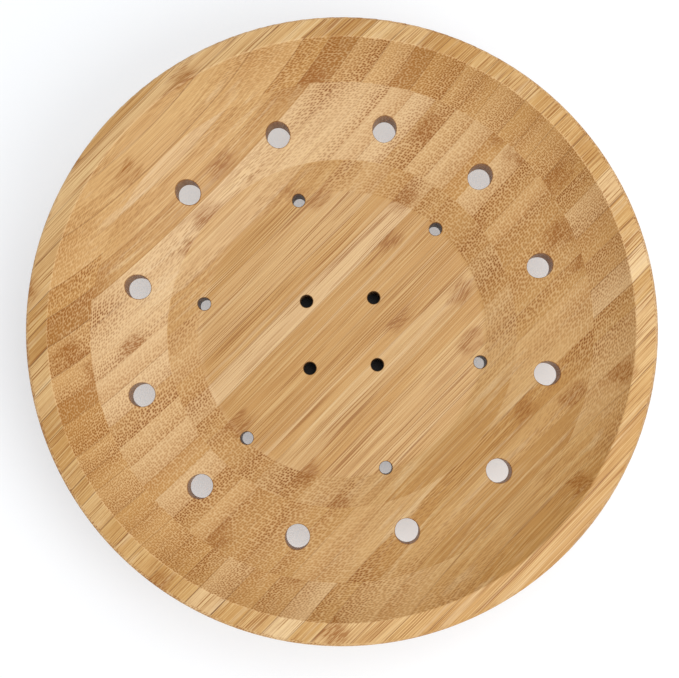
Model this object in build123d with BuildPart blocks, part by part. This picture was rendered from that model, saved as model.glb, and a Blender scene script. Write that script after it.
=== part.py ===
"""Lazy susan: a shallow laminated bamboo bowl that turns on a low ball-bearing swivel.

Millimetres. +Z is up, and the origin is on the table, under the centre of the bowl.
The bowl is three glued boards, and +X points at one air hole of each ring. Under it is a
moulded swivel: a base, a top plate, two steel races, a caged ring of balls and a pivot bolt.
"""

import os
from math import cos, hypot, radians, sin, tan

from build123d import *

# ---- bowl ----
BOWL_RADIUS = 150.0
BOARD_NAMES = ("floor_board", "wall_board", "rim_board")
BOARD_THICKNESS = 20.0
FLOOR_THICKNESS = 12.0
FLOOR_RADIUS = 73.0
FLOOR_EDGE_FILLET = 6.0
INNER_WALL_SLOPE = radians(27.5)
INNER_BEND_RADIUS = 110.0
RIM_INNER_RADIUS = 139.0
RIM_OUTWARD_FALL = 2.4
RIM_EDGE_HEIGHT = 6.1
RIM_INNER_FILLET = 0.8
RIM_OUTER_FILLET = 2.2
FOOT_RADIUS = 79.0
FOOT_FILLET = 1.5
OUTER_WALL_SLOPE = radians(30)
OUTER_BEND_RADIUS = 114.0

# ---- air holes in the bowl: number of holes, radius of their ring, radius of a hole ----
WALL_HOLES = (12, 104.3, 6.0)
FLOOR_HOLES = (6, 72.2, 3.25)
CENTRE_HOLES = (4, 24.4, 3.25)
HOLE_MOUTH_FILLET = 0.5

# ---- ball bearing ----
BALL_COUNT = 20
BALL_RADIUS = 2.5
BALL_RING_RADIUS = 40.0
FIRST_BALL_ANGLE = 9.0
GROOVE_CLEARANCE = 0.1
BALL_ABOVE_RACE_SEAT = 3.2
RACE_THICKNESS = 1.6
RACE_HALF_WIDTH = 7.0
RACE_SEAT_DEPTH = 0.5
CAGE_THICKNESS = 2.2
CAGE_HALF_WIDTH = 4.6
POCKET_CLEARANCE = 0.1

# ---- screws: how many hold each race, and how many hold the top plate ----
SCREW_COUNT = 4
SCREW_STEP = 360 / SCREW_COUNT

# ---- the screws that hold each race ----
RACE_SCREW_ANGLE = 22.5
RACE_SCREW_RING_RADIUS = 44.8
RACE_SCREW_HEAD_RADIUS = 1.7
RACE_SCREW_HEAD_HEIGHT = 0.9
RACE_SCREW_HEAD_LAND = 0.1
RACE_SCREW_SHANK_RADIUS = 0.9
RACE_SCREW_LENGTH = 3.2
RACE_SCREW_TIP_LENGTH = 0.4
RACE_SCREW_TIP_RADIUS = 0.5
RACE_SCREW_SOCKET_FLATS = 1.3
RACE_SCREW_SOCKET_DEPTH = 0.6

# ---- swivel base ----
BASE_CLEARANCE = 1.5
BASE_THICKNESS = 4.0
BASE_RADIUS = 59.0
BASE_LIP_WIDTH = 2.0
BASE_LIP_HEIGHT = 3.7
BASE_EDGE_CHAMFER = 0.5
BOSS_RADIUS = 12.0
BOSS_HEIGHT = 4.0
BOSS_WEB = 1.5
BOSS_HOLE_RADIUS = 3.1
NUT_WELL_RADIUS = 8.0
CAP_SEAT_RADIUS = 10.0
CAP_SEAT_DEPTH = 1.0
MOULDING_POCKET_INNER_RADIUS = 16.0
MOULDING_POCKET_OUTER_RADIUS = 39.0
MOULDING_POCKET_DEPTH = 1.6
RIB_COUNT = 8
RIB_WIDTH = 2.4
ACCESS_HOLE_RADIUS = 4.2

# ---- swivel top plate ----
PLATE_RADIUS = 62.0
PLATE_THICKNESS = 4.1
PLATE_EDGE_FILLET = 1.0
SKIRT_WIDTH = 2.0
SKIRT_DEPTH = 5.3
HUB_RADIUS = 11.0
HUB_DROP = 1.0

# ---- pivot bolt, bush, washer, nut and cap ----
SHOULDER_RADIUS = 4.0
THREAD_RADIUS = 3.0
BOLT_HEAD_RADIUS = 7.5
BOLT_HEAD_THICKNESS = 1.5
BOLT_HEAD_FILLET = 0.5
BOLT_SOCKET_FLATS = 4.0
BOLT_SOCKET_DEPTH = 2.4
BOLT_STICK_OUT = 0.4
HEAD_WELL_RADIUS = 8.5
HEAD_WELL_DEPTH = 2.6
HEAD_PLAY = 0.1
BUSH_SLEEVE_RADIUS = 5.5
BUSH_BORE_RADIUS = 4.05
BUSH_FLANGE_RADIUS = 8.0
BUSH_FLANGE_THICKNESS = 0.8
WASHER_RADIUS = 6.5
WASHER_THICKNESS = 0.8
NUT_FLATS = 10.0
NUT_HEX_HEIGHT = 2.7
NUT_COLLAR_RADIUS = 4.5
NUT_COLLAR_HEIGHT = 1.2
CAP_PLAY = 0.1
CAP_RING_WALL = 0.9
CAP_RING_HEIGHT = 2.0
CAP_NOTCH_WIDTH = 3.0

# ---- the wood screws that hold the top plate to the bowl ----
WOOD_SCREW_ANGLE = 45.0
WOOD_SCREW_RING_RADIUS = 52.0
WOOD_SCREW_LENGTH = 14.0
WOOD_SCREW_TIP_LENGTH = 3.0
WOOD_SCREW_TIP_RADIUS = 0.3
WOOD_SCREW_SHANK_RADIUS = 1.75
WOOD_SCREW_HEAD_RADIUS = 3.5
WOOD_SCREW_HEAD_HEIGHT = 2.1
WOOD_SCREW_HEAD_LAND = 0.3
CROSS_RECESS_LENGTH = 4.0
CROSS_RECESS_WIDTH = 0.9
CROSS_RECESS_DEPTH = 1.3

# ---- rubber feet ----
RUBBER_FOOT_COUNT = 4
RUBBER_RING_RADIUS = 49.5
RUBBER_RADIUS = 7.5
RUBBER_SEAT_DEPTH = 1.7
RUBBER_CHAMFER = 0.6
RUBBER_DIMPLE_RADIUS = 4.0
RUBBER_DIMPLE_DEPTH = 0.5

# how far a tool shape runs past the solid it trims or joins
OVERCUT = 1.0

# ---- levels above the table ----
base_bottom = BASE_CLEARANCE
base_top = base_bottom + BASE_THICKNESS
lip_top = base_top + BASE_LIP_HEIGHT
boss_top = base_top + BOSS_HEIGHT
nut_well_roof = boss_top - BOSS_WEB
cap_top = base_bottom + CAP_SEAT_DEPTH
lower_race_seat = base_top - RACE_SEAT_DEPTH
lower_race_top = lower_race_seat + RACE_THICKNESS
ball_level = lower_race_seat + BALL_ABOVE_RACE_SEAT
upper_race_seat = ball_level + BALL_ABOVE_RACE_SEAT
upper_race_bottom = upper_race_seat - RACE_THICKNESS
plate_bottom = upper_race_seat - RACE_SEAT_DEPTH
plate_top = plate_bottom + PLATE_THICKNESS
hub_bottom = plate_bottom - HUB_DROP
head_well_floor = plate_top - HEAD_WELL_DEPTH
bush_top = head_well_floor + BUSH_FLANGE_THICKNESS
bolt_head_bottom = bush_top + HEAD_PLAY
bolt_head_top = bolt_head_bottom + BOLT_HEAD_THICKNESS
washer_bottom = nut_well_roof - WASHER_THICKNESS
nut_hex_bottom = washer_bottom - NUT_HEX_HEIGHT
nut_bottom = nut_hex_bottom - NUT_COLLAR_HEIGHT
bolt_end = nut_bottom - BOLT_STICK_OUT
bowl_floor = plate_top + FLOOR_THICKNESS
bowl_top = plate_top + len(BOARD_NAMES) * BOARD_THICKNESS
rim_outer_top = bowl_top - RIM_OUTWARD_FALL
rim_outer_bottom = rim_outer_top - RIM_EDGE_HEIGHT

race_inner_radius = BALL_RING_RADIUS - RACE_HALF_WIDTH
race_outer_radius = BALL_RING_RADIUS + RACE_HALF_WIDTH


def save(piece, name):
    """Labels a finished piece and writes it to parts/name.step."""
    piece.label = name
    export_step(piece, f"parts/{name}.step")


def ring_section(inner, outer, low, high, mode=Mode.ADD):
    """Draws the half section of a flat ring, as a rectangle in a sketch on Plane.XZ."""
    with Locations(((inner + outer) / 2, (low + high) / 2)):
        Rectangle(outer - inner, high - low, mode=mode)


def screw_outline(head, shank, tip, head_height, land, length, tip_length):
    """Draws the half outline of a countersunk screw that points up, with a plain shank."""
    Polyline(
        (0, 0),
        (head, 0),
        (head, land),
        (shank, head_height),
        (shank, length - tip_length),
        (tip, length),
        (0, length),
        close=True,
    )


def hexagon(flats):
    """Draws a hexagon of that size across its flats."""
    RegularPolygon(radius=flats / 2, side_count=6, major_radius=False)


os.makedirs("parts", exist_ok=True)

# ================================================================ wood screws
wood_screw_places = [
    Rot(0, 0, WOOD_SCREW_ANGLE + SCREW_STEP * turn) * Pos(WOOD_SCREW_RING_RADIUS, 0, plate_bottom)
    for turn in range(SCREW_COUNT)
]

with BuildPart() as wood_screw_blank:
    with BuildSketch(Plane.XZ):
        with BuildLine():
            screw_outline(
                WOOD_SCREW_HEAD_RADIUS,
                WOOD_SCREW_SHANK_RADIUS,
                WOOD_SCREW_TIP_RADIUS,
                WOOD_SCREW_HEAD_HEIGHT,
                WOOD_SCREW_HEAD_LAND,
                WOOD_SCREW_LENGTH,
                WOOD_SCREW_TIP_LENGTH,
            )
        make_face()
    revolve(axis=Axis.Z)

with BuildPart() as wood_screw:
    add(wood_screw_blank.part)
    with BuildSketch(Plane.XY):
        Rectangle(CROSS_RECESS_LENGTH, CROSS_RECESS_WIDTH)
        Rectangle(CROSS_RECESS_WIDTH, CROSS_RECESS_LENGTH)
    extrude(amount=CROSS_RECESS_DEPTH, mode=Mode.SUBTRACT)

with BuildPart() as top_plate_screws:
    with Locations(*wood_screw_places):
        add(wood_screw.part)
save(top_plate_screws.part, "top_plate_screws")


# ================================================================ bowl boards
def wall_line(start, bend_radius, slope, end):
    """Draws one face of the bowl's wall: a straight cone that then bends up in one arc."""
    rise = (bend_radius - start[0]) * tan(slope)
    bend = (bend_radius, start[1] + rise)
    Line(start, bend)
    TangentArc(bend, end, tangent=(cos(slope), sin(slope)))


foot_edge = (FOOT_RADIUS, plate_top)
floor_edge = (FLOOR_RADIUS, bowl_floor)
rim_low = (BOWL_RADIUS, rim_outer_bottom)
rim_high = (BOWL_RADIUS, rim_outer_top)
rim_inner = (RIM_INNER_RADIUS, bowl_top)
rounded_edges = (
    (foot_edge, FOOT_FILLET),
    (floor_edge, FLOOR_EDGE_FILLET),
    (rim_low, RIM_OUTER_FILLET),
    (rim_high, RIM_OUTER_FILLET),
    (rim_inner, RIM_INNER_FILLET),
)

with BuildSketch() as bowl_section:
    with BuildLine():
        Polyline(floor_edge, (0, bowl_floor), (0, plate_top), foot_edge)
        wall_line(foot_edge, OUTER_BEND_RADIUS, OUTER_WALL_SLOPE, rim_low)
        Polyline(rim_low, rim_high, rim_inner)
        wall_line(floor_edge, INNER_BEND_RADIUS, INNER_WALL_SLOPE, rim_inner)
    make_face()
    for corner, size in rounded_edges:
        fillet(bowl_section.vertices().sort_by_distance(corner)[0], radius=size)


def hole_mouths(board_part):
    """The edges where the air holes break out through the bowl's own surfaces.

    Where a hole breaks out through a sloping wall or the rounded edge of the floor, its mouth
    is a spline. Through the flat floor or the flat foot it is a small circle. The circles in
    the glued joints and under the swivel's top plate stay sharp.
    """
    sloping = board_part.edges().filter_by(GeomType.BSPLINE)
    circles = board_part.edges().filter_by(GeomType.CIRCLE)
    small = circles.filter_by(lambda edge: abs(edge.radius - FLOOR_HOLES[2]) < 0.01)
    in_floor = small.filter_by_position(Axis.Z, bowl_floor - 0.01, bowl_floor + 0.01)
    in_foot = small.filter_by_position(Axis.Z, plate_top - 0.01, plate_top + 0.01)
    beside_plate = in_foot.filter_by(lambda edge: hypot(edge.arc_center.X, edge.arc_center.Y) > PLATE_RADIUS)
    return sloping + in_floor + beside_plate


for number, name in enumerate(BOARD_NAMES):
    board_bottom = plate_top + number * BOARD_THICKNESS
    board_top = board_bottom + BOARD_THICKNESS
    with BuildPart() as board:
        with BuildSketch(Plane.XZ):
            add(bowl_section.sketch)
            ring_section(0, BOWL_RADIUS + OVERCUT, board_bottom, board_top, Mode.INTERSECT)
        revolve(axis=Axis.Z)
        for count, ring_radius, hole_radius in (WALL_HOLES, FLOOR_HOLES, CENTRE_HOLES):
            with BuildSketch(Plane.XY.offset(plate_top)):
                with PolarLocations(ring_radius, count):
                    Circle(hole_radius)
            extrude(amount=bowl_top - plate_top, mode=Mode.SUBTRACT)
        mouths = hole_mouths(board.part)
        if mouths:
            fillet(mouths, radius=HOLE_MOUTH_FILLET)
        with Locations(*wood_screw_places):
            add(wood_screw_blank.part, mode=Mode.SUBTRACT)
    save(board.part, name)

# ================================================================ race screws
race_screw_ring = [
    Rot(0, 0, RACE_SCREW_ANGLE + SCREW_STEP * turn) * Pos(RACE_SCREW_RING_RADIUS, 0, 0)
    for turn in range(SCREW_COUNT)
]
lower_race_screw_places = [Pos(0, 0, lower_race_top) * place * Rot(180, 0, 0) for place in race_screw_ring]
upper_race_screw_places = [Pos(0, 0, upper_race_bottom) * place for place in race_screw_ring]

with BuildPart() as race_screw_blank:
    with BuildSketch(Plane.XZ):
        with BuildLine():
            screw_outline(
                RACE_SCREW_HEAD_RADIUS,
                RACE_SCREW_SHANK_RADIUS,
                RACE_SCREW_TIP_RADIUS,
                RACE_SCREW_HEAD_HEIGHT,
                RACE_SCREW_HEAD_LAND,
                RACE_SCREW_LENGTH,
                RACE_SCREW_TIP_LENGTH,
            )
        make_face()
    revolve(axis=Axis.Z)

with BuildPart() as race_screw:
    add(race_screw_blank.part)
    with BuildSketch(Plane.XY):
        hexagon(RACE_SCREW_SOCKET_FLATS)
    extrude(amount=RACE_SCREW_SOCKET_DEPTH, mode=Mode.SUBTRACT)

with BuildPart() as lower_race_screws:
    with Locations(*lower_race_screw_places):
        add(race_screw.part)
save(lower_race_screws.part, "lower_race_screws")

with BuildPart() as upper_race_screws:
    with Locations(*upper_race_screw_places):
        add(race_screw.part)
save(upper_race_screws.part, "upper_race_screws")


# ================================================================ ball bearing
def race_section(low):
    """Draws the half section of a steel race with the groove that the balls run in."""
    ring_section(race_inner_radius, race_outer_radius, low, low + RACE_THICKNESS)
    with Locations((BALL_RING_RADIUS, ball_level)):
        Circle(BALL_RADIUS + GROOVE_CLEARANCE, mode=Mode.SUBTRACT)


with BuildPart() as lower_race:
    with BuildSketch(Plane.XZ):
        race_section(lower_race_seat)
    revolve(axis=Axis.Z)
    with Locations(*lower_race_screw_places):
        add(race_screw_blank.part, mode=Mode.SUBTRACT)
save(lower_race.part, "lower_race")

with BuildPart() as upper_race:
    with BuildSketch(Plane.XZ):
        race_section(upper_race_bottom)
    revolve(axis=Axis.Z)
    with Locations(*upper_race_screw_places):
        add(race_screw_blank.part, mode=Mode.SUBTRACT)
save(upper_race.part, "upper_race")

with BuildPart(Plane.XY.offset(ball_level)) as bearing_balls:
    with PolarLocations(BALL_RING_RADIUS, BALL_COUNT, FIRST_BALL_ANGLE):
        Sphere(BALL_RADIUS)
save(bearing_balls.part, "bearing_balls")

with BuildPart(Plane.XY.offset(ball_level)) as ball_cage:
    Cylinder(BALL_RING_RADIUS + CAGE_HALF_WIDTH, CAGE_THICKNESS)
    Cylinder(BALL_RING_RADIUS - CAGE_HALF_WIDTH, CAGE_THICKNESS, mode=Mode.SUBTRACT)
    with PolarLocations(BALL_RING_RADIUS, BALL_COUNT, FIRST_BALL_ANGLE):
        Sphere(BALL_RADIUS + POCKET_CLEARANCE, mode=Mode.SUBTRACT)
save(ball_cage.part, "ball_cage")

# ================================================================ swivel base
with BuildPart() as base_disc:
    with BuildSketch(Plane.XZ) as base_section:
        ring_section(0, BASE_RADIUS, base_bottom, base_top)
        ring_section(BASE_RADIUS - BASE_LIP_WIDTH, BASE_RADIUS, base_bottom, lip_top)
        ring_section(0, BOSS_RADIUS, base_bottom, boss_top)
        outer_corner = base_section.vertices().sort_by_distance((BASE_RADIUS, base_bottom))[0]
        chamfer(outer_corner, length=BASE_EDGE_CHAMFER)
        ring_section(race_inner_radius, race_outer_radius, lower_race_seat, base_top, Mode.SUBTRACT)
        ring_section(0, BOSS_HOLE_RADIUS, base_bottom, boss_top, Mode.SUBTRACT)
        ring_section(0, NUT_WELL_RADIUS, base_bottom, nut_well_roof, Mode.SUBTRACT)
        ring_section(0, CAP_SEAT_RADIUS, base_bottom, cap_top, Mode.SUBTRACT)
        ring_section(
            MOULDING_POCKET_INNER_RADIUS,
            MOULDING_POCKET_OUTER_RADIUS,
            base_bottom,
            base_bottom + MOULDING_POCKET_DEPTH,
            Mode.SUBTRACT,
        )
    revolve(axis=Axis.Z)
    with BuildSketch(Plane.XY.offset(base_bottom)):
        with PolarLocations((MOULDING_POCKET_INNER_RADIUS + MOULDING_POCKET_OUTER_RADIUS) / 2, RIB_COUNT):
            Rectangle(MOULDING_POCKET_OUTER_RADIUS - MOULDING_POCKET_INNER_RADIUS + OVERCUT, RIB_WIDTH)
    extrude(amount=MOULDING_POCKET_DEPTH)
    with BuildSketch(Plane.XY.offset(base_bottom)):
        with PolarLocations(RUBBER_RING_RADIUS, RUBBER_FOOT_COUNT):
            Circle(RUBBER_RADIUS)
    extrude(amount=RUBBER_SEAT_DEPTH, mode=Mode.SUBTRACT)
    with BuildSketch(Plane.XY.offset(base_bottom)):
        with Locations(*(Pos(0, 0, -plate_bottom) * place for place in wood_screw_places)):
            Circle(ACCESS_HOLE_RADIUS)
    extrude(amount=BASE_THICKNESS, mode=Mode.SUBTRACT)
    with Locations(*lower_race_screw_places):
        add(race_screw_blank.part, mode=Mode.SUBTRACT)
save(base_disc.part, "base_disc")

for number in range(RUBBER_FOOT_COUNT):
    angle = 360 / RUBBER_FOOT_COUNT * number
    with BuildPart() as rubber_foot:
        with BuildSketch():
            with PolarLocations(RUBBER_RING_RADIUS, 1, angle):
                Circle(RUBBER_RADIUS)
        extrude(amount=base_bottom + RUBBER_SEAT_DEPTH)
        chamfer(rubber_foot.edges().group_by(Axis.Z)[0], length=RUBBER_CHAMFER)
        with BuildSketch():
            with PolarLocations(RUBBER_RING_RADIUS, 1, angle):
                Circle(RUBBER_DIMPLE_RADIUS)
        extrude(amount=RUBBER_DIMPLE_DEPTH, mode=Mode.SUBTRACT)
    save(rubber_foot.part, f"rubber_foot_{number + 1}")

# ================================================================ swivel top plate
with BuildPart() as swivel_top_plate:
    with BuildSketch(Plane.XZ) as plate_section:
        ring_section(0, PLATE_RADIUS, plate_bottom, plate_top)
        ring_section(PLATE_RADIUS - SKIRT_WIDTH, PLATE_RADIUS, plate_bottom - SKIRT_DEPTH, plate_top)
        ring_section(0, HUB_RADIUS, hub_bottom, plate_top)
        top_corner = plate_section.vertices().sort_by_distance((PLATE_RADIUS, plate_top))[0]
        fillet(top_corner, radius=PLATE_EDGE_FILLET)
        ring_section(race_inner_radius, race_outer_radius, plate_bottom, upper_race_seat, Mode.SUBTRACT)
        ring_section(0, BUSH_SLEEVE_RADIUS, hub_bottom, plate_top, Mode.SUBTRACT)
        ring_section(0, HEAD_WELL_RADIUS, head_well_floor, plate_top, Mode.SUBTRACT)
    revolve(axis=Axis.Z)
    with Locations(*wood_screw_places):
        add(wood_screw_blank.part, mode=Mode.SUBTRACT)
    with Locations(*upper_race_screw_places):
        add(race_screw_blank.part, mode=Mode.SUBTRACT)
save(swivel_top_plate.part, "swivel_top_plate")

# ================================================================ pivot
with BuildPart() as pivot_bolt:
    with BuildSketch(Plane.XZ) as bolt_section:
        ring_section(0, BOLT_HEAD_RADIUS, bolt_head_bottom, bolt_head_top)
        ring_section(0, SHOULDER_RADIUS, boss_top, bolt_head_bottom)
        ring_section(0, THREAD_RADIUS, bolt_end, boss_top)
        head_corner = bolt_section.vertices().sort_by_distance((BOLT_HEAD_RADIUS, bolt_head_top))[0]
        fillet(head_corner, radius=BOLT_HEAD_FILLET)
    revolve(axis=Axis.Z)
    with BuildSketch(Plane.XY.offset(bolt_head_top)):
        hexagon(BOLT_SOCKET_FLATS)
    extrude(amount=-BOLT_SOCKET_DEPTH, mode=Mode.SUBTRACT)
save(pivot_bolt.part, "pivot_bolt")

with BuildPart() as pivot_bush:
    with BuildSketch(Plane.XZ):
        ring_section(BUSH_BORE_RADIUS, BUSH_SLEEVE_RADIUS, hub_bottom, bush_top)
        ring_section(BUSH_BORE_RADIUS, BUSH_FLANGE_RADIUS, head_well_floor, bush_top)
    revolve(axis=Axis.Z)
save(pivot_bush.part, "pivot_bush")

with BuildPart() as pivot_washer:
    with BuildSketch(Plane.XZ):
        ring_section(BOSS_HOLE_RADIUS, WASHER_RADIUS, washer_bottom, nut_well_roof)
    revolve(axis=Axis.Z)
save(pivot_washer.part, "pivot_washer")

with BuildPart() as pivot_nut:
    with BuildSketch(Plane.XY.offset(nut_hex_bottom)):
        hexagon(NUT_FLATS)
    extrude(amount=NUT_HEX_HEIGHT)
    with BuildSketch(Plane.XY.offset(nut_bottom)):
        Circle(NUT_COLLAR_RADIUS)
    extrude(amount=NUT_COLLAR_HEIGHT)
    Hole(THREAD_RADIUS)
save(pivot_nut.part, "pivot_nut")

with BuildPart() as bottom_cap:
    with BuildSketch(Plane.XZ):
        ring_section(0, CAP_SEAT_RADIUS - CAP_PLAY, base_bottom, cap_top)
        ring_section(
            NUT_WELL_RADIUS - CAP_PLAY - CAP_RING_WALL,
            NUT_WELL_RADIUS - CAP_PLAY,
            base_bottom,
            cap_top + CAP_RING_HEIGHT,
        )
    revolve(axis=Axis.Z)
    with BuildSketch(Plane.XY.offset(cap_top)):
        Rectangle(2 * NUT_WELL_RADIUS, CAP_NOTCH_WIDTH)
        Rectangle(CAP_NOTCH_WIDTH, 2 * NUT_WELL_RADIUS)
    extrude(amount=CAP_RING_HEIGHT, mode=Mode.SUBTRACT)
save(bottom_cap.part, "bottom_cap")
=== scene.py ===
"""Looks for the lazy susan: a glued bamboo bowl that turns on a black ball-bearing swivel.

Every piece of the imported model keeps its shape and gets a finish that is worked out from
its own coordinates, so the grain runs through each board as it does through real timber.
"""

from math import radians, tau
from types import SimpleNamespace

import bpy
from mathutils import Matrix, Vector


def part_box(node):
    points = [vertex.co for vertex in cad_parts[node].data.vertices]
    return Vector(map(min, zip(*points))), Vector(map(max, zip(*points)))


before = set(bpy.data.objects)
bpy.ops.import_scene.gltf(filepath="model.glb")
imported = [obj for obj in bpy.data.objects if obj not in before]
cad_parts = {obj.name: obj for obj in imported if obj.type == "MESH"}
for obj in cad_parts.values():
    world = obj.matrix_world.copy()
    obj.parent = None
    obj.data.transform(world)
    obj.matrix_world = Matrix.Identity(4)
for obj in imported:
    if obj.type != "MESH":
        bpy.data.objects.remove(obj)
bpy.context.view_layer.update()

MM = 0.001
FLOOR_THICKNESS = 12
FLOOR_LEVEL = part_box("floor_board")[0].z / MM + FLOOR_THICKNESS


# ---------------------------------------------------------------- shader building blocks
def linear(red, green, blue):
    """A display colour, as 0 to 255 values, turned into the linear colour that shaders use."""
    shares = [channel / 255 for channel in (red, green, blue)]
    return (*(v / 12.92 if v <= 0.04045 else ((v + 0.055) / 1.055) ** 2.4 for v in shares), 1.0)


def shade(colour, share):
    """A linear colour made lighter or darker, with its opacity kept at 1."""
    return (*(channel * share for channel in colour[:3]), 1.0)


class Nodes:
    """Adds nodes to one tree. Each call returns an output socket, so the steps read in order."""

    def __init__(self, tree):
        self.tree = tree

    def add(self, kind, **settings):
        node = self.tree.nodes.new(kind)
        for name, value in settings.items():
            setattr(node, name, value)
        return node

    def feed(self, socket, value):
        """Links a socket to another one, or sets it to a plain value."""
        if isinstance(value, bpy.types.NodeSocket):
            self.tree.links.new(value, socket)
        else:
            socket.default_value = value

    def fill(self, node, values):
        """Feeds a node's first inputs in order and returns its first output."""
        for socket, value in zip(node.inputs, values):
            self.feed(socket, value)
        return node.outputs[0]

    def set(self, node, **values):
        """Feeds a node's inputs by name."""
        for name, value in values.items():
            self.feed(node.inputs[name.replace("_", " ")], value)

    def math(self, operation, *values):
        return self.fill(self.add("ShaderNodeMath", operation=operation), values)

    def multiply(self, *values):
        result = values[0]
        for value in values[1:]:
            result = self.math("MULTIPLY", result, value)
        return result

    def total(self, *values):
        result = values[0]
        for value in values[1:]:
            result = self.math("ADD", result, value)
        return result

    def length(self, *values):
        """The length of a vector that has those parts, as the root of the sum of squares."""
        return self.math("SQRT", self.total(*(self.math("MULTIPLY", value, value) for value in values)))

    def split(self, vector):
        node = self.add("ShaderNodeSeparateXYZ")
        self.feed(node.inputs[0], vector)
        return node.outputs

    def join(self, x, y, z):
        return self.fill(self.add("ShaderNodeCombineXYZ"), (x, y, z))

    def stretched(self, *parts):
        """A place in a pattern. A (coordinate, length) pair makes one feature about that long."""
        return self.join(*(self.math("DIVIDE", *part) if isinstance(part, tuple) else part for part in parts))

    def smooth(self, value, low, high):
        """0 where the value is at low and 1 where it is at high, with a soft step between."""
        node = self.add("ShaderNodeMapRange", interpolation_type="SMOOTHSTEP")
        return self.fill(node, (value, low, high, 0.0, 1.0))

    def between(self, value, low, high):
        """A 0 to 1 value stretched to run from low to high."""
        return self.fill(self.add("ShaderNodeMapRange", clamp=False), (value, 0.0, 1.0, low, high))

    def mapping(self, vector, kind="POINT", turn=0.0, scale=1.0):
        """A vector scaled, then turned about the object's own Z axis."""
        node = self.add("ShaderNodeMapping", vector_type=kind)
        self.feed(node.inputs["Vector"], vector)
        node.inputs["Rotation"].default_value = (0.0, 0.0, turn)
        node.inputs["Scale"].default_value = (scale, scale, scale)
        return node.outputs[0]

    def noise(self, vector, detail=2.0, roughness=0.5, scale=1.0):
        node = self.add("ShaderNodeTexNoise")
        self.set(node, Vector=vector, Scale=scale, Detail=detail, Roughness=roughness)
        return node.outputs[0]

    def random(self, x, y, z):
        """Three random values that stay the same for the same three numbers."""
        node = self.add("ShaderNodeTexWhiteNoise", noise_dimensions="3D")
        self.feed(node.inputs["Vector"], self.join(x, y, z))
        return self.split(node.outputs["Color"])

    def mix(self, factor, first, second, blend="MIX"):
        node = self.add("ShaderNodeMix", data_type="RGBA", blend_type=blend)
        sockets = {socket.identifier: socket for socket in node.inputs}
        for name, value in (("Factor_Float", factor), ("A_Color", first), ("B_Color", second)):
            self.feed(sockets[name], value)
        return next(socket for socket in node.outputs if socket.identifier == "Result_Color")

    def ramp(self, factor, *stops):
        """A colour for each value, from (place, colour) stops in rising order."""
        node = self.add("ShaderNodeValToRGB")
        elements = node.color_ramp.elements
        elements.remove(elements[1])
        for place, colour in stops[1:]:
            elements.new(place).color = colour
        elements[0].position, elements[0].color = stops[0]
        self.feed(node.inputs[0], factor)
        return node.outputs[0]

    def bump(self, height, strength, distance):
        node = self.add("ShaderNodeBump")
        self.set(node, Height=height, Strength=strength, Distance=distance)
        return node.outputs[0]

    def group(self, group, **values):
        """Places a node group, sets or links its inputs by name and returns its outputs."""
        node = self.add("ShaderNodeGroup", node_tree=group)
        self.set(node, **values)
        return node.outputs


def new_group(name, inputs, outputs):
    """An empty shader node group: the group, its nodes, its input sockets and its output sockets."""
    group = bpy.data.node_groups.new(name, "ShaderNodeTree")
    for direction, sockets in (("INPUT", inputs), ("OUTPUT", outputs)):
        for label, kind in sockets.items():
            group.interface.new_socket(label, in_out=direction, socket_type="NodeSocket" + kind)
    nodes = Nodes(group)
    return group, nodes, nodes.add("NodeGroupInput").outputs, nodes.add("NodeGroupOutput").inputs


def new_material(name, **constants):
    """A material with one Principled shader: the material, its nodes, the shader's inputs,
    the object coordinates in millimetres and the object normal."""
    material = bpy.data.materials.new(name)
    material.use_nodes = True
    material.node_tree.nodes.clear()
    nodes = Nodes(material.node_tree)
    shader = nodes.add("ShaderNodeBsdfPrincipled")
    nodes.feed(nodes.add("ShaderNodeOutputMaterial").inputs[0], shader.outputs[0])
    for label, value in constants.items():
        shader.inputs[label.replace("_", " ")].default_value = value
    coordinates = nodes.add("ShaderNodeTexCoord")
    millimetres = nodes.mapping(coordinates.outputs["Object"], scale=1 / MM)
    return material, nodes, shader.inputs, millimetres, coordinates.outputs["Normal"]


# ---------------------------------------------------------------- bamboo
GRAIN_TURN = radians(-2.5)
CULM_LENGTH = 270.0

# number of holes, radius of their ring, radius of a hole, share of painted shade on the wall, and its colour
AIR_HOLES = (
    (12.0, 104.3, 6.0, 0.65, linear(122, 70, 24)),
    (6.0, 72.2, 3.25, 0.85, linear(76, 40, 14)),
    (4.0, 24.4, 3.25, 0.80, linear(60, 36, 22)),
)


# what sets one board's wood apart from another's, and how much painted sheen and painted shade it gets
BOARD_VALUES = ("Seed", "Strip Width", "Shift", "Glue", "Dark Strips", "Depth", "Painted Sheen")
BOARDS = {
    "floor_board": (3.0, 10.6, 2.0, 0.35, 0.04, 0.13, 0.0),
    "wall_board": (11.0, 10.2, 5.5, 0.60, 0.10, 0.08, 0.30),
    "rim_board": (29.0, 10.9, 8.0, 1.0, 0.08, 0.03, 0.0),
}


def drilled_ring_group():
    """A mask that is 1 on the walls of holes drilled in a ring.

    The angle round the axis is folded into one hole's share of the circle. The mask then
    comes from the distance to that hole's own axis.
    """
    inputs = {"Place": "Vector", "Holes": "Float", "Ring Radius": "Float", "Hole Radius": "Float"}
    group, n, given, out = new_group("drilled ring", inputs, {"Mask": "Float"})
    x, y, _ = n.split(given["Place"])
    radius = n.length(x, y)
    share = n.math("DIVIDE", tau, given["Holes"])
    turn = n.math("DIVIDE", n.math("ARCTAN2", y, x), share)
    folded = n.multiply(n.math("SUBTRACT", turn, n.math("ROUND", turn)), share)
    along = n.math("SUBTRACT", n.multiply(radius, n.math("COSINE", folded)), given["Ring Radius"])
    across = n.multiply(radius, n.math("SINE", folded))
    past_wall = n.math("SUBTRACT", n.length(along, across), given["Hole Radius"])
    n.feed(out["Mask"], n.math("SUBTRACT", 1.0, n.smooth(past_wall, 0.05, 0.45)))
    return group


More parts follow.
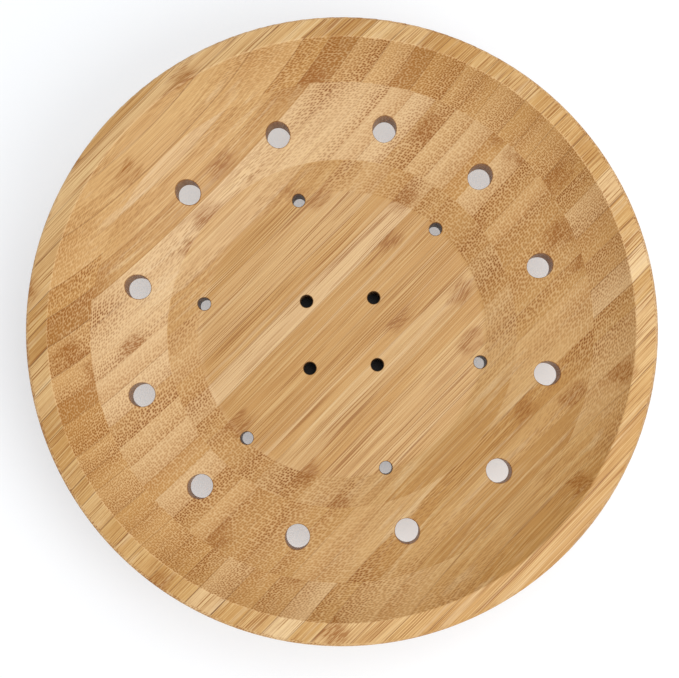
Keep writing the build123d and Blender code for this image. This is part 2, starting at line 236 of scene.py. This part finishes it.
def add_strips(n, wood, given):
    """The glued strips: which one a place is in, how far into it, and the strip's own values."""
    # fibres wander a little, and neighbouring strips differ in width
    wander = n.noise(n.stretched((wood.along, 45), (wood.straight, 14), wood.seed), 1.0)
    wood.across = n.total(wood.straight, n.between(wander, -0.7, 0.7))
    uneven = n.noise(n.stretched((wood.straight, 17), wood.seed, 3.1), 0.0)
    shifted = n.total(wood.straight, given["Shift"], n.between(uneven, -4, 4))
    counted = n.math("DIVIDE", shifted, given["Strip Width"])
    wood.strip = n.math("FLOOR", counted)
    wood.inside = n.math("SUBTRACT", counted, wood.strip)
    wood.tone, wood.knuckle_place, wood.bundle_share = n.random(wood.strip, wood.seed, 0.0)
    side, wood.warmth, wood.ripple = n.random(wood.strip, wood.seed, 7.0)

    # one side of a strip was nearest the skin of the culm, where the bundles are densest
    flipped = n.math("GREATER_THAN", side, 0.5)
    wood.skin = n.math("ABSOLUTE", n.math("SUBTRACT", wood.inside, flipped))
    wood.patches = n.noise(n.stretched((wood.along, 26), (wood.across, 7), (wood.up, 7)), 2.0)


def add_bundles(n, wood):
    """Fibre bundles: the cells of a Voronoi pattern over across and up."""
    cells = n.add("ShaderNodeTexVoronoi", voronoi_dimensions="2D", feature="F1")
    n.set(cells, Vector=n.stretched((wood.across, 1.15), (wood.up, 0.70), 0.0), Scale=1.0, Randomness=0.62)
    bundle = n.smooth(cells.outputs["Distance"], 0.38, 0.22)
    bundle_own = n.split(cells.outputs["Color"])[0]
    wood.bundles = n.multiply(
        bundle,
        n.multiply(
            n.between(n.smooth(wood.skin, 0.0, 0.9), 0.50, 1.05),
            n.between(wood.bundle_share, 0.35, 1.15),
            n.between(n.smooth(wood.patches, 0.35, 0.65), 0.75, 1.05),
            n.between(bundle_own, 0.85, 1.1),
        ),
    )
    wood.between_bundles = n.smooth(cells.outputs["Distance"], 0.42, 0.60)


def add_streaks(n, wood):
    """Long streaks between the bundles, from noises that are far longer along than across."""
    wood.broad = n.noise(n.stretched((wood.along, 170), (wood.across, 3.4), (wood.up, 9)), 3.0, 0.6)
    wood.lines = n.noise(n.stretched((wood.along, 70), (wood.across, 0.52), (wood.up, 9)), 1.0, 0.4)
    own_up = n.total(n.math("DIVIDE", wood.up, 6), wood.seed)
    crowd = n.noise(n.stretched((wood.along, 70), (wood.across, 5.5), own_up), 1.0)
    wood.fine = n.noise(n.stretched((wood.along, 34), (wood.across, 0.36), (wood.up, 6)), 2.0, 0.6)
    crowded = n.between(n.smooth(crowd, 0.42, 0.58), 0.18, 1.0)
    wood.line_mark = n.multiply(n.smooth(wood.lines, 0.545, 0.62), crowded)


def add_knuckles(n, wood):
    """Knuckles: a band of short slanting dashes that comes round once in each length of culm."""
    phase = n.math("FRACT", n.total(n.math("DIVIDE", wood.along, CULM_LENGTH), wood.knuckle_place))
    from_knuckle = n.multiply(n.math("SUBTRACT", phase, 0.5), CULM_LENGTH)
    ragged = n.total(n.math("ABSOLUTE", from_knuckle), n.between(wood.broad, -9, 9))
    knuckle = n.multiply(
        n.smooth(ragged, 10.0, 3.0),
        n.smooth(wood.skin, 0.0, 0.35),
        n.smooth(wood.patches, 0.28, 0.50),
    )
    slant = n.total(wood.across, n.multiply(from_knuckle, n.between(wood.ripple, -0.35, 0.35)))
    dashes = n.noise(n.stretched((wood.along, 6.0), (slant, 0.55), (wood.up, 1.2)), 1.0)
    wood.knuckle_mark = n.multiply(knuckle, n.between(n.smooth(dashes, 0.48, 0.58), 0.30, 0.85))


def add_facing(n, wood, given):
    """How squarely the surface cuts across the grain, and where it is level."""
    facing = n.split(n.mapping(given["Normal"], "NORMAL", turn=-GRAIN_TURN))
    wood.level = n.smooth(n.math("ABSOLUTE", facing[2]), 0.915, 0.965)
    wood.cut_across = n.smooth(n.math("ABSOLUTE", facing[0]), 0.21, 0.42)


def add_glue(n, wood, given):
    """The dark glue line where two strips meet, squeezed thin in places."""
    nearest = n.math("MINIMUM", wood.inside, n.math("SUBTRACT", 1.0, wood.inside))
    edge = n.multiply(nearest, given["Strip Width"])
    squeezed = n.noise(n.stretched((wood.along, 60), wood.strip, wood.seed), 0.0)
    wood.glue = n.multiply(
        n.smooth(edge, 0.30, 0.08),
        given["Glue"],
        n.between(wood.level, 0.55, 1.0),
        n.between(n.smooth(squeezed, 0.35, 0.65), 0.15, 1.0),
    )


def strip_colour(n, wood, given):
    """A strip's colour, plus a painted sheen that lightens one side of the board. Strips cut across differ
    less from each other.
    """
    # painted sheen: the board grows steadily lighter across the grain, towards one side
    painted_sheen = n.multiply(given["Painted Sheen"], n.math("DIVIDE", wood.across, 100))
    own = n.multiply(wood.tone, n.between(wood.cut_across, 1.0, 0.80))
    evened = n.total(own, n.multiply(wood.cut_across, 0.12))
    toned = n.total(evened, painted_sheen, n.between(wood.warmth, -0.04, 0.04))
    return n.ramp(
        toned,
        (0.0, linear(192, 144, 79)),
        (0.30, linear(202, 157, 94)),
        (0.55, linear(209, 166, 106)),
        (0.80, linear(216, 177, 121)),
        (1.0, linear(228, 195, 147)),
    )


def wood_colour(n, wood, given):
    """The strip's colour with one layer after another laid over it, each through its own mask."""
    def on_level(elsewhere, on_flat):
        return n.between(wood.level, elsewhere, on_flat)

    def on_cut(elsewhere, cut_squarely):
        return n.between(wood.cut_across, elsewhere, cut_squarely)

    dark_strip = n.math("LESS_THAN", wood.tone, given["Dark Strips"])
    rich_strip = n.math("GREATER_THAN", wood.bundle_share, 0.62)
    toasted_skin = n.multiply(n.smooth(wood.skin, 0.2, 1.0), on_cut(0.14, 0.30))
    dark_streaks = n.multiply(n.smooth(wood.broad, 0.52, 0.68), on_level(0.16, 0.30), on_cut(1.0, 0.4))
    pale_streaks = n.multiply(n.smooth(wood.broad, 0.47, 0.32), on_cut(0.36, 0.10))
    dark_lines = n.multiply(wood.line_mark, on_level(0.30, 0.80), on_cut(1.0, 0.25))
    pale_lines = n.multiply(n.smooth(wood.lines, 0.44, 0.38), on_level(0.30, 0.36), on_cut(1.0, 0.20))
    fine_lines = n.multiply(n.smooth(wood.fine, 0.54, 0.68), on_level(0.24, 0.50), on_cut(1.0, 0.35))
    dots = n.multiply(wood.bundles, on_cut(on_level(0.45, 0.10), 0.94))
    layers = (
        (n.multiply(dark_strip, on_cut(0.25, 0.80)), linear(166, 113, 48)),
        (n.multiply(rich_strip, wood.cut_across, 0.28), linear(180, 128, 62)),
        (n.between(wood.ripple, 0.0, 0.14), linear(206, 152, 80)),
        (toasted_skin, linear(180, 124, 62)),
        (dark_streaks, linear(172, 117, 46)),
        (pale_streaks, linear(232, 206, 164)),
        (dark_lines, linear(150, 92, 26)),
        (pale_lines, linear(238, 208, 150)),
        (fine_lines, linear(154, 100, 34)),
        (dots, linear(134, 74, 6)),
        (n.multiply(wood.between_bundles, wood.cut_across, 0.36), linear(242, 214, 166)),
    )
    colour = strip_colour(n, wood, given)
    for mask, laid_over in layers:
        colour = n.mix(mask, colour, laid_over)
    colour = n.mix(n.multiply(wood.cut_across, 0.10), colour, linear(214, 164, 92), "MULTIPLY")
    colour = n.mix(wood.knuckle_mark, colour, linear(152, 92, 22))
    colour = n.mix(wood.glue, colour, linear(112, 66, 30))
    # painted shade: the whole board is darkened, most on the floor board deep in the bowl, least on the rim
    return n.mix(given["Depth"], colour, linear(136, 96, 48))


def bamboo_group():
    """Solid laminated bamboo, worked out from the place in the board, in millimetres.

    Along is the grain, across numbers the glued strips, and up is the board's thickness.
    Each strip has its own tone, its own knuckles and one side where the fibre bundles are
    packed. A bundle is a cell of a Voronoi pattern over across and up, the same all along
    the grain. So a cut along the grain shows lines, and a sloping cut across it shows dots.
    """
    inputs = {"Place": "Vector", "Normal": "Vector", **dict.fromkeys(BOARD_VALUES, "Float")}
    outputs = {"Color": "Color", "Roughness": "Float", "Height": "Float"}
    group, n, given, out = new_group("laminated bamboo", inputs, outputs)
    along, straight, up = n.split(n.mapping(given["Place"], turn=-GRAIN_TURN))
    wood = SimpleNamespace(along=along, straight=straight, up=up, seed=given["Seed"])
    add_strips(n, wood, given)
    add_bundles(n, wood)
    add_streaks(n, wood)
    add_knuckles(n, wood)
    add_facing(n, wood, given)
    add_glue(n, wood, given)
    n.feed(out["Color"], wood_colour(n, wood, given))

    # oiled satin: pits where a bundle is cut across, and raised lines where it runs along
    n.feed(out["Roughness"], n.total(n.between(wood.fine, 0.38, 0.52), n.multiply(wood.bundles, 0.10)))
    pits = n.multiply(wood.bundles, n.between(wood.cut_across, -0.35, -0.9))
    grooves = n.total(n.multiply(wood.line_mark, -0.4), n.multiply(wood.fine, 0.3))
    n.feed(out["Height"], n.total(pits, grooves, n.multiply(wood.glue, -0.8)))
    return group


def bamboo(name, grain, drilled, values):
    """Oiled bamboo for one board, with painted shade on the walls of its air holes."""
    material, n, shader, place, normal = new_material(name, IOR=1.46)
    wood = n.group(grain, Place=place, Normal=normal, **dict(zip(BOARD_VALUES, values)))
    colour = wood["Color"]
    for holes, ring_radius, hole_radius, hole_shade_share, hole_shade_colour in AIR_HOLES:
        wall = n.group(drilled, Place=place, Holes=holes, Ring_Radius=ring_radius, Hole_Radius=hole_radius)
        # painted shade: each hole wall is darkened towards a deep brown, most on the inner rings
        colour = n.mix(n.multiply(wall["Mask"], hole_shade_share), colour, hole_shade_colour)
    n.feed(shader["Base Color"], colour)
    n.feed(shader["Roughness"], wood["Roughness"])
    n.feed(shader["Normal"], n.bump(wood["Height"], 0.30, 0.25 * MM))
    return material


# ---------------------------------------------------------------- plastic, steel and rubber
def moulding(name, colour, roughness, grain, relief):
    """Moulded plastic with the fine, even grain of an etched mould and a little rubbed gloss."""
    material, n, shader, place, _ = new_material(name, IOR=1.5)
    etched = n.noise(place, 2.0, 0.6, 1 / grain)
    rubbed = n.noise(place, 3.0, 0.6, 0.06)
    n.feed(shader["Base Color"], n.mix(n.smooth(rubbed, 0.45, 0.75), colour, shade(colour, 1.35)))
    n.feed(shader["Roughness"], n.between(rubbed, roughness - 0.10, roughness + 0.10))
    n.feed(shader["Normal"], n.bump(etched, 0.35, relief * MM))
    return material


def turned_steel(name, colour, ridge, roughness):
    """Plated steel with fine rings round the axis, from a noise over the radius and the height."""
    material, n, shader, place, _ = new_material(name, Metallic=1.0)
    x, y, z = n.split(place)
    rings = n.noise(n.stretched((n.length(x, y), ridge), (z, ridge), 0.0), 3.0, 0.7)
    clouds = n.noise(place, 3.0, 0.6, 0.12)
    brushed = n.between(rings, roughness - 0.08, roughness + 0.12)
    n.feed(shader["Base Color"], n.mix(n.smooth(clouds, 0.35, 0.75), colour, shade(colour, 0.72)))
    n.feed(shader["Roughness"], n.total(brushed, n.between(clouds, -0.05, 0.05)))
    n.feed(shader["Normal"], n.bump(rings, 0.25, 0.03 * MM))
    return material


def plated_steel(name, colour, tint, roughness):
    """Zinc plate: small bright crystals with a faint coloured bloom."""
    material, n, shader, place, _ = new_material(name, Metallic=1.0)
    crystals = n.add("ShaderNodeTexVoronoi", feature="F1")
    n.set(crystals, Vector=place, Scale=2.2)
    bloom = n.noise(place, 2.0, 0.5, 0.35)
    glint = n.between(n.split(crystals.outputs["Color"])[0], 0.0, 0.25)
    spangle = n.mix(glint, colour, linear(240, 240, 240))
    n.feed(shader["Base Color"], n.mix(n.multiply(n.smooth(bloom, 0.4, 0.7), 0.55), spangle, tint))
    n.feed(shader["Roughness"], n.between(bloom, roughness - 0.08, roughness + 0.10))
    n.feed(shader["Normal"], n.bump(crystals.outputs["Distance"], 0.15, 0.02 * MM))
    return material


def polished_steel(name):
    """Bearing steel with a thin, uneven film of grease."""
    material, n, shader, place, _ = new_material(name, Metallic=1.0)
    film = n.noise(place, 3.0, 0.55, 0.8)
    greased = n.mix(n.smooth(film, 0.45, 0.7), linear(214, 217, 222), linear(170, 160, 138))
    n.feed(shader["Base Color"], greased)
    n.feed(shader["Roughness"], n.between(n.smooth(film, 0.4, 0.75), 0.05, 0.28))
    return material


def foot_rubber(name):
    """Dull rubber with a fine pebble and a dusting that is paler low down, near the table."""
    material, n, shader, place, _ = new_material(name, IOR=1.5)
    pebble = n.noise(place, 2.0, 0.5, 2.6)
    near_table = n.smooth(n.split(place)[2], 1.6, 0.0)
    dust = n.multiply(near_table, n.smooth(n.noise(place, 3.0, 0.6, 0.25), 0.35, 0.7))
    n.feed(shader["Base Color"], n.mix(n.multiply(dust, 0.35), linear(44, 44, 45), linear(128, 124, 118)))
    n.feed(shader["Roughness"], n.between(pebble, 0.66, 0.86))
    n.feed(shader["Normal"], n.bump(pebble, 0.45, 0.12 * MM))
    return material


def paint(material, *nodes):
    """Gives CAD nodes that material in place of their flat one."""
    for name in nodes:
        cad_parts[name].data.materials.clear()
        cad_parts[name].data.materials.append(material)


def paint_everything():
    grain = bamboo_group()
    drilled = drilled_ring_group()
    for board, values in BOARDS.items():
        paint(bamboo("bamboo " + board.replace("_", " "), grain, drilled, values), board)
    black = moulding("black moulding", linear(20, 18, 18), roughness=0.62, grain=0.35, relief=0.06)
    paint(black, "swivel_top_plate", "base_disc", "bottom_cap")
    race_steel = turned_steel("bright race steel", linear(196, 199, 204), ridge=0.25, roughness=0.24)
    paint(race_steel, "upper_race", "lower_race")
    paint(polished_steel("ball steel"), "bearing_balls")
    nylon = moulding("natural nylon", linear(232, 228, 214), roughness=0.42, grain=0.5, relief=0.02)
    paint(nylon, "ball_cage", "pivot_bush")
    zinc = plated_steel("zinc plated steel", linear(190, 192, 194), linear(168, 176, 196), 0.34)
    paint(zinc, "pivot_bolt", "pivot_washer", "pivot_nut", "upper_race_screws", "lower_race_screws")
    paint(plated_steel("yellow zinc", linear(208, 176, 96), linear(196, 140, 120), 0.32), "top_plate_screws")
    paint(foot_rubber("foot rubber"), *(f"rubber_foot_{number}" for number in range(1, 5)))


# ---------------------------------------------------------------- camera, table and light
VIEW_TURN = Matrix.Rotation(radians(-48), 4, "Z")
UPWARDS = VIEW_TURN @ Vector((0, 1, 0))
CAMERA_PLACE = (4.14, -54.6, 597.8)
CAMERA_TARGET = (-1.2, -3.14, 0)
SENSOR = 36.0
LENS = 62.14
TABLE_REACH = 6.0

# name, place, width, power and colour of each lamp
LAMPS = (
    ("lamp beside the camera", (120, 160, 760), 0.40, 1.2, (1.0, 1.0, 1.0)),
    ("key light", (500, -430, 850), 0.7, 4.0, (1.0, 0.99, 0.97)),
)


def seen(x, y, z):
    """A place in the model, from millimetres measured from the middle of the bowl's floor,
    with x to the right and y upwards as the camera sees it."""
    return VIEW_TURN @ Vector((x, y, 0)) * MM + Vector((0, 0, (z + FLOOR_LEVEL) * MM))


def look(position, target, up):
    """The placement of a camera or a light that stands at position and points at target."""
    back = (position - target).normalized()
    right = up.cross(back).normalized()
    turn = Matrix((right, back.cross(right), back)).transposed().to_4x4()
    return Matrix.Translation(position) @ turn


def make_camera():
    camera = bpy.data.objects.new("camera", bpy.data.cameras.new("camera"))
    camera.data.lens = LENS
    camera.data.sensor_width = SENSOR
    camera.data.clip_start = 0.01
    camera.matrix_world = look(seen(*CAMERA_PLACE), seen(*CAMERA_TARGET), UPWARDS)
    bpy.context.scene.collection.objects.link(camera)
    bpy.context.scene.camera = camera


def make_light(name, place, size, watts, colour):
    light = bpy.data.objects.new(name, bpy.data.lights.new(name, "AREA"))
    light.data.shape = "DISK"
    light.data.size = size
    light.data.energy = watts
    light.data.color = colour
    light.matrix_world = look(seen(*place), seen(0, 0, 0), UPWARDS)
    bpy.context.scene.collection.objects.link(light)


def make_table():
    """A large pale table that glows a little, as a lit white studio table does."""
    corners = [(x * TABLE_REACH, y * TABLE_REACH, 0) for x, y in ((-1, -1), (1, -1), (1, 1), (-1, 1))]
    mesh = bpy.data.meshes.new("table")
    mesh.from_pydata(corners, [], [(0, 1, 2, 3)])
    table = bpy.data.objects.new("table", mesh)
    bpy.context.scene.collection.objects.link(table)
    material, _, shader, _, _ = new_material("white table", Roughness=0.6)
    shader["Base Color"].default_value = (0.75, 0.75, 0.75, 1.0)
    shader["Specular IOR Level"].default_value = 0.1
    shader["Emission Color"].default_value = (0.90, 1.0, 1.12, 1.0)
    shader["Emission Strength"].default_value = 0.27
    mesh.materials.append(material)


def make_studio():
    """An even white room, a soft light beside the camera and a large one at the lower right."""
    world = bpy.data.worlds.new("studio")
    bpy.context.scene.world = world
    world.use_nodes = True
    background = world.node_tree.nodes["Background"]
    background.inputs["Color"].default_value = (1.0, 1.0, 1.0, 1.0)
    background.inputs["Strength"].default_value = 0.71
    make_table()
    for lamp in LAMPS:
        make_light(*lamp)
    bpy.context.scene.view_settings.view_transform = "Standard"
    bpy.context.scene.view_settings.look = "None"


make_camera()
paint_everything()
make_studio()
